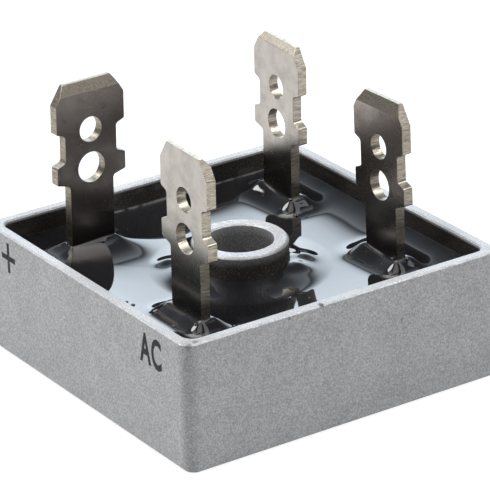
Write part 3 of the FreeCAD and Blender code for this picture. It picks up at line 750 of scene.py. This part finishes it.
floor_mesh = bpy.data.meshes.new("floor")
floor_mesh.from_pydata([(x * FLOOR_REACH, y * FLOOR_REACH, 0) for x, y in ((-1, -1), (1, -1), (1, 1), (-1, 1))],
                       [], [(0, 1, 2, 3)])
floor = bpy.data.objects.new("floor", floor_mesh)
floor.data.materials.append(floor_white)
bpy.context.collection.objects.link(floor)

# %% [markdown]
# One softbox overhead brightens the rim and the collar's top. Two wide, narrow boxes half way up light the
# two sides. They stand too high for the mirrors of the blades' bevels, which would turn white.

# %% Light
SUBJECT = Vector((0, 0, 9 * MM))
LAMP_DISTANCE = 0.6


def softbox(name, azimuth, elevation, width, height, radiance, colour):
    """An area light aimed at the object, as bright as radiance per unit of its own face."""
    light = bpy.data.lights.new(name, "AREA")
    light.shape = "RECTANGLE"
    light.size = width
    light.size_y = height
    light.energy = radiance * pi * width * height
    light.color = colour
    towards = Vector((sin(azimuth) * cos(elevation), -cos(azimuth) * cos(elevation), sin(elevation)))
    lamp = bpy.data.objects.new(name, light)
    lamp.location = SUBJECT + towards * LAMP_DISTANCE
    lamp.rotation_euler = towards.to_track_quat("Z", "Y").to_euler()
    bpy.context.collection.objects.link(lamp)
    print(f"{name}: {light.energy:.2f} W")


softbox("softbox_top", radians(200), radians(82), 0.4, 0.4, 1.6, (0.97, 0.98, 1.0))
softbox("softbox_left", radians(-34), radians(54), 0.6, 0.26, 9.8, (1.0, 0.99, 0.97))
softbox("softbox_right", radians(127), radians(54), 0.6, 0.26, 6.3, (0.98, 0.99, 1.0))

# %% [markdown]
# ## Studio
#
# The resin is a mirror, so what stands behind the object matters more than any material. The photo's resin
# shows a pale blue-white panel that ends softly at about 31 degrees above the horizon, a fainter band over
# it, and a narrow bright strip at about 60 degrees, with black between. The rings round the blades are that
# panel's upper edge, bent by the climbing resin. So the world is painted as such a studio: a ramp over the
# elevation, held to one side by the direction, and a faint glow low in front.

# %% Studio
TO_BACK = Vector((sin(AZIMUTH + pi), -cos(AZIMUTH + pi), 0))
TO_RIGHT = level
PANEL_RADIANCE = 5.0
BASE_RADIANCE = 0.12
FRONT_RADIANCE = 0.22
# Degrees above the horizon, and the panel's radiance there
PANELS = ((0, 1.5), (12, 4.2), (23.5, 4.8), (26, 4.1), (28, 2.9), (30, 1.0), (31.3, 0.25), (32.5, 1.35),
          (35, 1.0), (39, 0.55), (44, 0.3), (51, 0.25), (55, 0.4), (57.5, 2.1), (61, 2.5), (65, 2.0),
          (70, 0.3), (90, 0.22))


def bluish(radiance):
    """The panel's colour at a radiance, as a share of its full strength."""
    share = radiance / PANEL_RADIANCE
    return share * 0.80, share * 0.90, share


world = bpy.data.worlds.new("studio")
world.use_nodes = True
tree = world.node_tree
tree.nodes.clear()
towards = add(tree, "ShaderNodeTexCoord").outputs["Generated"]
elevation = calculate(tree, "ARCSINE", axes(tree, towards)["Z"])
forward, sideways = [add(tree, "ShaderNodeVectorMath", {0: towards, 1: direction}, operation="DOT_PRODUCT")
                     .outputs["Value"] for direction in (TO_BACK, TO_RIGHT)]
turned = calculate(tree, "ARCTAN2", sideways, forward)
panels = ramp(tree, calculate(tree, "DIVIDE", elevation, pi / 2),
              *((angle / 90, bluish(radiance)) for angle, radiance in PANELS))
right_half = span(tree, turned, radians(2), radians(50), 1.0, 0.0)
left_half = span(tree, turned, radians(-60), radians(-25), 0.0, 1.0)
held = product(tree, right_half, left_half)
low_front = product(tree, span(tree, forward, 0.3, -0.1, 0.0, 1.0),
                    span(tree, elevation, radians(25), radians(40), 1.0, 0.0))
level_light = span(tree, low_front, 0.0, 1.0, BASE_RADIANCE, FRONT_RADIANCE)
base = add(tree, "ShaderNodeBackground", {"Color": (0.97, 0.98, 1.0, 1), "Strength": level_light})
shown = add(tree, "ShaderNodeBackground", {"Color": panels, "Strength": PANEL_RADIANCE})
both = add(tree, "ShaderNodeMixShader", {"Fac": held, 1: base.outputs[0], 2: shown.outputs[0]})
add(tree, "ShaderNodeOutputWorld", {"Surface": both.outputs[0]})
bpy.context.scene.world = world
bpy.context.scene.view_settings.view_transform = "Standard"
print("panel towards azimuth", round(degrees(AZIMUTH) + 180, 1))
